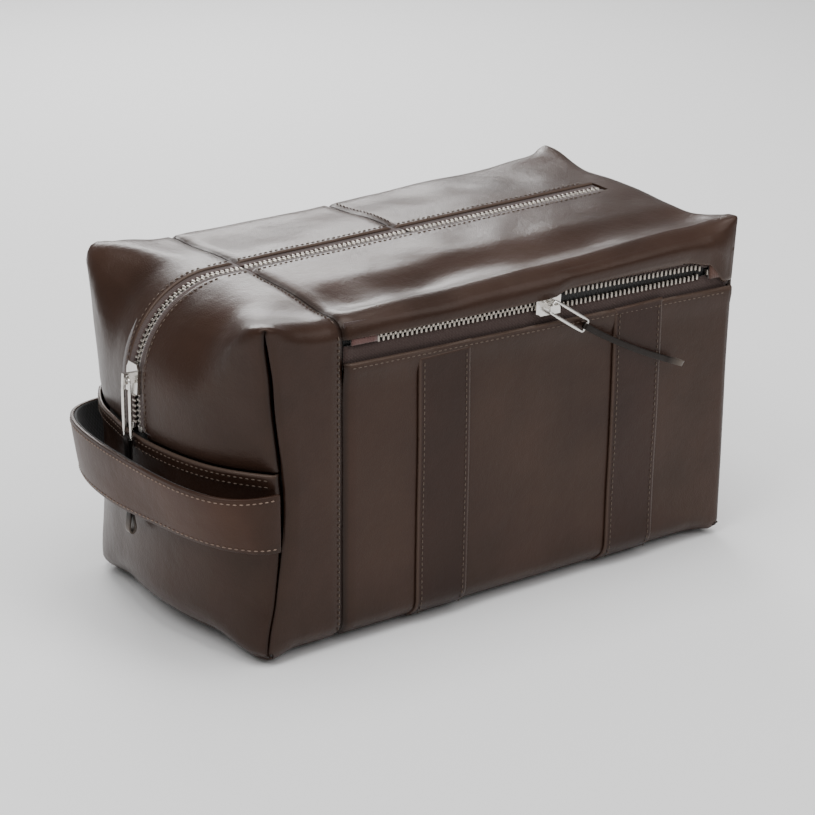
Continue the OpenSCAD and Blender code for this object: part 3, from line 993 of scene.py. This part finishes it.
# %% Rows on the pocket and the bands
pocket_rows = [skin_row([(x, -half, pocket_z(x, -panel_drop - inside))
                         for x in range(int(front_seam) + 2, 122, 4)], lap)]
band_rows = []
for x0, x1 in bands:
    for x in (x0 + inside, x1 - inside):
        for side in (-1, 1):
            band_rows.append(skin_row([(x, side * half, z) for z in range(2, 123, 5)], band_lift))
pocket_stitches = bead_rows("pocket_stitches", pocket_rows, thread)
band_stitches = bead_rows("band_stitches", band_rows, thread)
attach(pocket_stitches, "bag")
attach(band_stitches, "bag")

# %% Rows on the top
for part, x0, x1 in (("near", int(front_seam) + 1, 0), ("far", 0, int(far_split) - 4)):
    for flap, s in (("front_flap", -1), ("back_flap", 1)):
        y = zip_y + s * (channel + inside)
        rows = [skin_row([(x, y, height) for x in range(x0, x1 + 1, 3)])]
        if flap == "back_flap" and part == "far":
            rows.append(skin_row([(back_seam + inside, y + 4 + t, height)
                                  for t in range(0, int(half - y) - 6, 4)]))
        piece = bead_rows(f"{flap}_stitches_{part}", rows, thread)
        bend_open(piece, flap, part)

# %% [markdown]
# ## The zips
# A metal zip is two woven tapes with a row of teeth clamped on each. The teeth of the
# two rows stand half a pitch apart. Each tooth is a small rounded block, and the rows
# follow the same lines as the CAD teeth.

# %% One tooth and one length of tape
pitch = 2.4
tooth_size = (1.15, 2.7, 2.2)
tooth_round = 0.36
tape_thickness = 0.6


def add_tooth(bm, place):
    """A tooth, x along the zip, y across towards its own tape, z outward."""
    cube = bmesh.ops.create_cube(bm, size=1, matrix=place @ Matrix.Translation((0, 0.9, 0))
                                 @ Matrix.Diagonal((*tooth_size, 1)))
    edges = list({e for v in cube["verts"] for e in v.link_edges})
    bmesh.ops.bevel(bm, geom=edges, offset=tooth_round, segments=2, profile=0.5, affect="EDGES",
                    material=-1, clamp_overlap=True)


def join_rows(bm, rows, loop=False, tube=False):
    """Faces between rows of points; loop joins the last row to the first, tube closes each."""
    n = len(rows[0])
    for r0, r1 in zip(rows, rows[1:] + (rows[:1] if loop else [])):
        for i in range(n if tube else n - 1):
            j = (i + 1) % n
            bm.faces.new((r0[i], r0[j], r1[j], r1[i]))


def tape_grid(bm, path, across, outward_shift=0.0):
    """path(s) gives a Matrix with x along, y across and z outward at place s."""
    steps, sides = across
    rows = []
    for s in steps:
        m = path(s)
        rows.append([bm.verts.new(m @ Vector((0, y, outward_shift))) for y in sides])
    join_rows(bm, rows)


def frame_at(place, along, across):
    out = along.cross(across)
    m = Matrix((along, across, out)).transposed().to_4x4()
    m.translation = place
    return m


quarter = zip_r * math.pi / 2


def main_path(s):
    """Along the main zip: s is 0 where the bend meets the top, minus round the bend and down."""
    across = Vector((0, 1, 0))
    if s >= 0:
        return frame_at(Vector((bend.x + s, zip_y, zip_z)), Vector((1, 0, 0)), across)
    if s > -quarter:
        a = -s / zip_r
        along = Vector((math.cos(a), 0, math.sin(a)))
        place = Vector((bend.x - zip_r * math.sin(a), zip_y, bend.z + zip_r * math.cos(a)))
        return frame_at(place, along, across)
    return frame_at(Vector((bend.x - zip_r, zip_y, bend.z + quarter + s)),
                    Vector((0, 0, 1)), across)


bail_out = 5.7
slider_rise = (Vector(joint("main_bail_swing")["pos_m"]).z / MM - bend.z) / (zip_r + bail_out)
slider_s = -zip_r * (math.pi / 2 - math.asin(slider_rise))
slider_half = 5
zip_low_s = -quarter - (bend.z - end_seam) + 2
print(f"main zip: slider {-slider_s:.0f} mm round the bend, lower end at {zip_low_s:.0f} mm")

# %% The main zip on the near end and on the top


def parted(s):
    """How far each row stands off the line below the slider."""
    return 1.0 if s < slider_s - slider_half else 0.0


def zip_run(name, side, s0, s1, skip=None):
    teeth, tape = bmesh.new(), bmesh.new()
    turn = Matrix.Rotation(math.pi if side < 0 else 0, 4, "Z")
    count = int((s1 - s0) / pitch)
    first = math.ceil(s0 / pitch)
    for i in range(first, first + count + 1):
        s = (i + (0.5 if side > 0 else 0)) * pitch
        if not s0 + 0.7 < s < s1 - 0.3 or skip and skip(s):
            continue
        shift = Matrix.Translation((0, side * parted(s), 0))
        add_tooth(teeth, main_path(s) @ shift @ turn)
    n = max(2, int((s1 - s0) / 2.5))
    steps = [s0 + (s1 - s0) * i / n for i in range(n + 1)]
    sides = [side * w for w in (1.6, 3, 4.4, 6, 8, 11)]
    if side < 0:
        sides.reverse()
    tape_grid(tape, main_path, (steps, sides), 0.3)
    teeth_piece = finish_piece(teeth, f"teeth_{name}", tooth_metal)
    tape_piece = finish_piece(tape, f"tape_{name}", zip_tape)
    thicken(tape_piece, tape_thickness)
    return teeth_piece, tape_piece


def by_slider(s):
    return abs(s - slider_s) < 5.2


for side, word, flap in ((-1, "front", "front_flap"), (1, "back", "back_flap")):
    top0, top1 = front_seam - bend.x, span("far_stop")[0].x - bend.x
    teeth, tape = zip_run(f"end_{word}", side, zip_low_s, top0, by_slider)
    for piece in (teeth, tape):
        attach(piece, "bag")
    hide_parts(f"end_teeth_{word}")
    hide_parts(f"end_tape_{word}")
    for part, s0, s1 in (("near", top0, -bend.x), ("far", -bend.x, top1)):
        teeth, tape = zip_run(f"top_{word}_{part}", side, s0, s1)
        bend_open(teeth, flap, part, f"top_teeth_{word}")
        bend_open(tape, flap, part, f"top_tape_{word}")

# %% The pocket zip
pocket_up = Vector((-pocket_axis.z, 0, pocket_axis.x))
pocket_zero = Vector((pocket_pivot.x, pocket_y, pocket_pivot.z))


def pocket_path(s):
    return frame_at(pocket_zero + pocket_axis * s, pocket_axis, pocket_up)


def pocket_parted(s, up):
    last = far_x - 22 - pocket_pivot.x
    return up * ease(3, 10, s) * ease(last, last - 8, s) * (1 - s * 0.003)


tape_steps = 70


def pocket_row(name, up_by, side, edge):
    """Teeth and tape of one side; the rows part by up_by and the tape ends at edge."""
    teeth, tape = bmesh.new(), bmesh.new()
    turn = Matrix.Rotation(math.pi if side < 0 else 0, 4, "Z")
    low = front_seam + 18 - pocket_pivot.x
    high = far_x - 24 - pocket_pivot.x
    for i in range(math.ceil(low / pitch), int(high / pitch)):
        s = (i + (0.5 if side > 0 else 0)) * pitch
        if -1.5 < s < 8.5:
            continue
        shift = Matrix.Translation((0, side * pocket_parted(s, up_by), 0))
        add_tooth(teeth, pocket_path(s) @ shift @ turn)
    s0, s1 = front_seam + 1 - pocket_pivot.x, far_x - 9 - pocket_pivot.x
    for i in range(tape_steps):
        corners = []
        for s in (s0 + (s1 - s0) * i / tape_steps, s0 + (s1 - s0) * (i + 1) / tape_steps):
            inner = 1.7 + pocket_parted(s, up_by)
            line = [inner + (edge - inner) * t / 4 for t in range(5)]
            corners.append([tape.verts.new(pocket_path(s) @ Vector((0, side * w, -0.3)))
                            for w in line])
        for a in range(4):
            ring = (corners[0][a], corners[0][a + 1], corners[1][a + 1], corners[1][a])
            tape.faces.new(ring if side > 0 else ring[::-1])
    bmesh.ops.remove_doubles(tape, verts=tape.verts, dist=0.01)
    teeth_piece = finish_piece(teeth, f"pocket_teeth_{name}_metal", tooth_metal)
    tape_piece = finish_piece(tape, f"pocket_tape_{name}_cloth", zip_tape)
    thicken(tape_piece, tape_thickness)
    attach(teeth_piece, "bag")
    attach(tape_piece, "bag")
    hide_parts(f"pocket_teeth_{name}")
    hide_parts(f"pocket_tape_{name}")


pocket_row("upper", 2.7, 1, 8.5)
pocket_row("lower", 1.3, -1, 12)

# %% The ends of the pocket zip


def pocket_patch(name, s0, s1, w0, w1, lift, material, thickness):
    """A flat piece between two places along the pocket zip and two heights across it."""
    bm = bmesh.new()
    steps = [s0 + (s1 - s0) * i / 6 for i in range(7)]
    tape_grid(bm, pocket_path, (steps, [w0 + (w1 - w0) * i / 3 for i in range(4)]), lift)
    piece = thicken(finish_piece(bm, name, material), thickness)
    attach(piece, "bag")
    return piece


near_s = front_seam - pocket_pivot.x
last_s = far_x - 22 - pocket_pivot.x
pocket_patch("pocket_zip_near_end", near_s + 4, near_s + 17, -1.3, 1.4, 1.0, zip_end, 0.8)
pocket_patch("pocket_zip_far_end", last_s + 0.5, last_s + 10, -3.2, 3.6, 1.2, far_tab, 1.0)
clamps = bmesh.new()
for s in (near_s + 17.6, last_s + 0.2):
    add_tooth(clamps, pocket_path(s) @ Matrix.Translation((0, -1.2, 0.3)))
clamps = finish_piece(clamps, "pocket_stop_clamps", tooth_metal)
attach(clamps, "bag")
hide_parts("pocket_stops")

# %% [markdown]
# ## Sliders, bails and stops
# The sliders and stops are hard and their CAD shapes are right, so they keep them and
# only take a better finish. A bail is bent wire, so each is drawn as one: a rounded loop
# that thickens away from its bars.

# %% Finish the hard CAD nodes
for material, slot, *names in (
    (nickel, "nickel", "main_slider", "pocket_slider", "end_stops", "far_stop"),
    (board, "board", "base_board"),
):
    for name in names:
        node = frame["nodes"][name]
        node.data.materials.clear()
        node.data.materials.append(material)

# %% Bails


def make_bail(name, swing, pull_swing):
    """A wire loop from the slider's bridge to the bar that the pull hangs on."""
    start, end = pivot(swing), pivot(pull_swing)
    along, length = (end - start).normalized(), (end - start).length
    across = Vector(joint(swing)["axis"])
    out = along.cross(across)
    print(f"{name}: {length:.1f} mm long, bars {abs(along.dot(across)):.3f} off square")
    reach, bend_at = 2.8, 1.0
    loop = []
    for sign, u0 in ((1, 0), (-1, length)):
        for i in range(7):
            a = math.radians(-90 + 90 * i / 6)
            loop.append((u0 + sign * bend_at * (1 + math.sin(a)),
                         sign * (reach - bend_at + bend_at * math.cos(a))))
        steps = [bend_at + (length - 2 * bend_at) * i / 16 for i in range(1, 16)]
        loop += [(u0 + sign * u, sign * reach) for u in steps]
        for i in range(7):
            a = math.radians(90 * i / 6)
            loop.append((u0 + sign * (length - bend_at * (1 - math.sin(a))),
                         sign * (reach - bend_at + bend_at * math.cos(a))))
    bm = bmesh.new()
    rings = []
    for i, (u, w) in enumerate(loop):
        du = loop[(i + 1) % len(loop)][0] - loop[i - 1][0]
        dw = loop[(i + 1) % len(loop)][1] - loop[i - 1][1]
        side = (across * du - along * dw).normalized()
        r = 0.6 + 0.24 * ease(3, 6, u) * ease(length - 1, length - 4, u)
        rings.append([bm.verts.new(start + along * u + across * w
                                   + (side * math.cos(t) + out * math.sin(t)) * r)
                      for t in (math.tau * k / 10 for k in range(10))])
    join_rows(bm, rings, loop=True, tube=True)
    bmesh.ops.remove_doubles(bm, verts=bm.verts, dist=0.001)
    bmesh.ops.recalc_face_normals(bm, faces=bm.faces)
    body = name.removesuffix("_wire")
    piece = finish_piece(bm, name, nickel)
    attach(piece, body)
    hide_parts(body)


make_bail("main_bail_wire", "main_bail_swing", "main_pull_swing")
make_bail("pocket_bail_wire", "pocket_bail_swing", "pocket_pull_swing")

# %% [markdown]
# ## The leather pulls
# A pull is one thin thong threaded through the bail and sewn to itself, so it is a
# flat loop: round the wire at one end and a small open fold at the other.

# %% Pulls


def make_pull(name, start, along, out, length, width, sag, rise, body):
    """A thong from the bail: sag bows its middle against out, rise moves its end sideways."""
    bm = bmesh.new()
    across = out.cross(along).normalized()
    eye = 1.05
    loop_r = 1.5
    path = []
    for i in range(9):
        a = math.radians(90 + 180 * i / 8)
        path.append((eye * math.cos(a), eye * math.sin(a)))
    body_n = 16
    for i in range(1, body_n):
        path.append((mix(1.5, length - 7, i / body_n), -0.62))
    for i in range(11):
        a = math.radians(-120 + 240 * i / 10)
        path.append((length - 3.4 + 2.6 * math.cos(a), loop_r * math.sin(a)))
    for i in range(body_n - 1, 0, -1):
        path.append((mix(1.5, length - 7, i / body_n), 0.62))
    rings = []
    for u, v in path:
        part = min(1, max(0, u / length))
        drop = -sag * math.sin(math.pi * part)
        side = rise * part ** 1.7
        ring = []
        for w in (-width / 2, -width / 6, width / 6, width / 2):
            ring.append(bm.verts.new(start + along * u + out * (v + drop) + across * (w + side)))
        rings.append(ring)
    join_rows(bm, rings, loop=True)
    bmesh.ops.recalc_face_normals(bm, faces=bm.faces)
    edge_colour_and_highlight_layer, _ = edge_colour_and_shade_layers(bm)
    for v in bm.verts:
        # The fold at the end takes a lighter edge colour: rubbed wear and a painted highlight.
        u = (v.co - start).dot(along)
        v[edge_colour_and_highlight_layer] = 0.9 * ease(length - 8, length - 3, u)
    piece = finish_piece(bm, name, pull_leather)
    m = piece.modifiers.new("thickness", "SOLIDIFY")
    m.thickness, m.offset = 0.9 * MM, 0
    m = piece.modifiers.new("round", "BEVEL")
    m.width, m.segments = 0.25 * MM, 2
    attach(piece, body)
    return piece


pocket_pull_pivot = pivot("pocket_pull_swing")
pull_dir = (pocket_pull_pivot - pocket_pivot).normalized()
pocket_pull = make_pull("pocket_pull_thong", pocket_pull_pivot, pull_dir, Vector((0, -1, 0)), 62,
                        2.7, -0.6, 8.0, "pocket_pull")
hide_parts("pocket_pull")
main_pull = make_pull("main_pull_thong", pivot("main_pull_swing"), Vector((0, 0, -1)),
                      Vector((-1, 0, 0)), 44, 3.6, 0.0, 0.0, "main_pull")
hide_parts("main_pull")

# %% [markdown]
# ## The carry strap
# The strap is a lighter strip of leather with a black lining, sewn into the two corner
# seams. Seen from above its line is a squared-off arc, and its lower edge sits closer
# to the bag than the upper one.

# %% Strap
strap_low, strap_high = span("handle_strap")
strap_mid = (strap_low.z + strap_high.z) / 2
strap_half = (strap_high.z - strap_low.z) / 2
strap_reach = 34
strap_power = 2 / 2.6


def strap_point(t, v, depth):
    """t from -1 to 1 along the strap, v from -1 (lower edge) to 1, depth inward."""
    a = t * math.pi / 2
    y = (half - 0.6) * math.copysign(abs(math.sin(a)) ** strap_power, t)
    reach = strap_reach - depth
    x = near_x + near_swell + 2 - reach * math.cos(a) ** strap_power
    y *= 1 - depth / half * math.cos(a) ** 0.4
    lean = mix(6.5, 3.2, ease(-30, 12, y)) * (1 - v) / 2 * min(1, 2.2 * math.cos(a))
    lean += 0.6 * math.cos(3 * a) * v + 3.2 * abs(math.sin(a)) ** 16
    dip = 1.5 * math.sin(a) ** 2
    return Vector((x + lean, y, strap_mid + strap_half * v - dip + 0.8 * math.cos(a)))


def bend_strap(piece):
    """Bakes the piece's placement into its mesh; it stays where it is drawn."""
    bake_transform(piece)


def strap_layer(name, depth, thickness, material, inset):
    bm = bmesh.new()
    bmesh.ops.create_grid(bm, x_segments=110, y_segments=10, size=1)
    for v in bm.verts:
        t, w = v.co.x, v.co.y * (1 - inset)
        crown = 0.5 * (1 - abs(w) ** 4)
        v.co = strap_point(t * 0.995, w, depth - crown)
    bm.normal_update()
    middle = min(bm.faces, key=lambda f: abs(f.calc_center_median().y))
    if middle.normal.x > 0:
        bmesh.ops.reverse_faces(bm, faces=bm.faces)
    edge_colour_and_highlight_layer, shade_layer = edge_colour_and_shade_layers(bm)
    for v in bm.verts:
        # The edges take dark edge paint, and painted shade darkens the ends where they enter the
        # seams.
        edge = min(strap_high.z - v.co.z, v.co.z - strap_low.z)
        v[edge_colour_and_highlight_layer] = 0.5 * (1 - ease(0.4, 1.6, edge))
        v[shade_layer] = 0.5 * (1 - ease(0, 5, half - abs(v.co.y)))
    piece = thicken(finish_piece(bm, name, material), thickness)
    m = piece.modifiers.new("round", "BEVEL")
    m.width, m.segments, m.limit_method = 0.5 * MM, 3, "ANGLE"
    bend_strap(piece)
    return piece


strap = strap_layer("strap_leather_outside", 0, 1.7, strap_leather, 0)
strap_inner = strap_layer("strap_lining_inside", 1.75, 1.0, lining_cloth, 0.03)
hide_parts("handle_strap", "handle_roots")
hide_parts("handle_lining")
strap_rows = []
for w in (-0.84, 0.84):
    row = []
    for i in range(121):
        t = -0.97 + 1.94 * i / 120
        p = strap_point(t, w, -0.5 * (1 - abs(w) ** 4))
        q = strap_point(t + 0.004, w, 0)
        side_dir = (q - strap_point(t, w, 0)).normalized()
        up = (strap_point(t, w + 0.02, 0) - strap_point(t, w, 0)).normalized()
        out = up.cross(side_dir)
        if out.x > 0:
            out = -out
        row.append((p, out))
    strap_rows.append(row)
strap_stitches = bead_rows("strap_stitches", strap_rows, strap_thread)
bend_strap(strap_stitches)

# %% [markdown]
# ## The linings
# The lining is a loose inner skin of black cloth: the same settled skin, brought in by
# a few millimetres. Its top is cut into pieces under the leather above them, fixed in place.

# %% Main lining
lining_in = 3.4


def lining_piece(name, keep):
    return cut_panel(name, keep, lambda p: "joined", lining_cloth, "lining", -lining_in, 0.5)


def in_mouth(c, f):
    return on_top(c, f) and front_seam < c.x < far_split


def in_channel(c, f):
    gap = abs(c.y - zip_y) < channel
    return gap and (on_top(c, f) and c.x < far_split or f == X and c.x < 0 and c.z > end_seam)


main_lining = lining_piece("main_lining_cloth", lambda c, f: not in_mouth(c, f)
                           and not in_channel(c, f))
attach(main_lining, "bag")
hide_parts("main_lining")
for flap, side, node in (("front_flap", -1, "flap_lining_front"),
                         ("back_flap", 1, "flap_lining_back")):
    for part, x0, x1 in (("near", front_seam, 0), ("far", 0, far_split)):
        piece = lining_piece(f"{node}_{part}", lambda c, f: in_mouth(c, f) and x0 < c.x < x1
                             and (c.y - zip_y) * side > channel)
        bend_open(piece, flap, part, node)

# %% The pocket's own bag
bag_low, bag_high = span("pocket_bag")
pouch_bm = bmesh.new()
bmesh.ops.create_cube(pouch_bm, size=1)
bmesh.ops.scale(pouch_bm, vec=bag_high - bag_low, verts=pouch_bm.verts)
bmesh.ops.translate(pouch_bm, vec=(bag_high + bag_low) / 2, verts=pouch_bm.verts)
top_faces = [f for f in pouch_bm.faces if f.normal.z > 0.5]
bmesh.ops.delete(pouch_bm, geom=top_faces, context="FACES")
cut_down = [v for v in pouch_bm.verts if v.co.z > bag_high.z - 1 and v.co.y < bag_low.y + 1]
for v in cut_down:
    v.co.z = pocket_z(v.co.x, -5.5)
for v in pouch_bm.verts:
    if v.co.z < bag_low.z + 1:
        v.co.y = mix(v.co.y, (bag_low.y + bag_high.y) / 2 + 2.5, 0.6)
bmesh.ops.subdivide_edges(pouch_bm, edges=pouch_bm.edges, cuts=7, use_grid_fill=True)
pouch = thicken(finish_piece(pouch_bm, "pocket_bag_cloth", lining_cloth), 0.5)
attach(pouch, "bag")
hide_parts("pocket_bag")

# %% [markdown]
# ## Finish
# The skin block is freed and the number of pieces made is printed.

# %% Free the block and count the pieces
block.free()
print("pieces made:", len(made))
